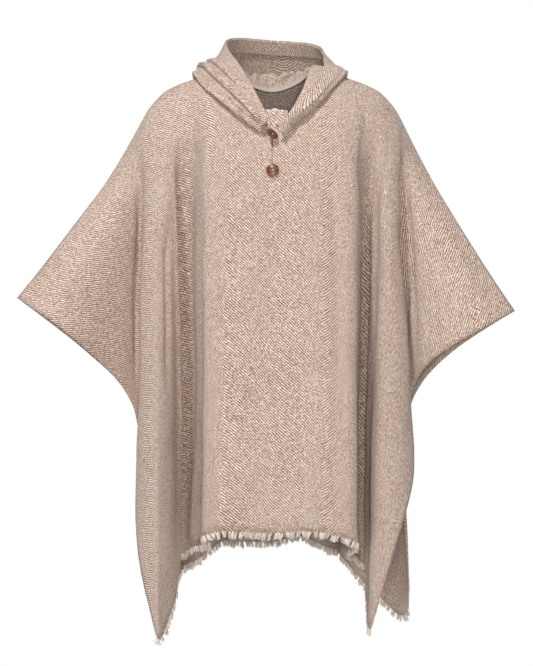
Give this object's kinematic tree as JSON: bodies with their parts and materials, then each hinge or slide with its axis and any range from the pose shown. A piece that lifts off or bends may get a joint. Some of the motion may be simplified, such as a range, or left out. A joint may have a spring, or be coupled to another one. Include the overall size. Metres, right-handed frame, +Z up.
{
  "type": "poncho",
  "caption": "Hooded wool poncho as worn: one woven rectangle over the shoulders, neck slit with buttons, hood thrown back, fringed hems.",
  "frame": {"origin": "middle of the shoulder line, on the neck's centre plane, where the wearer's shoulders hold the garment up", "axes": "+X to the viewer's right as seen from the front, +Y to the wearer's back so the front faces -Y, +Z up"},
  "size_m": [0.9045, 0.393, 1.1332],
  "materials": {
    "wool": "matt herringbone tweed, cream and pinkish brown",
    "button": "polished dark amber"
  },
  "bodies": {
    "root": {"front": "wool", "back": "wool", "hood": "wool", "hood_hem": "wool", "placket": "wool", "fringe_front": "wool", "fringe_back": "wool", "button_lower": "button", "button_upper": "button"}
  },
  "joints": []
}
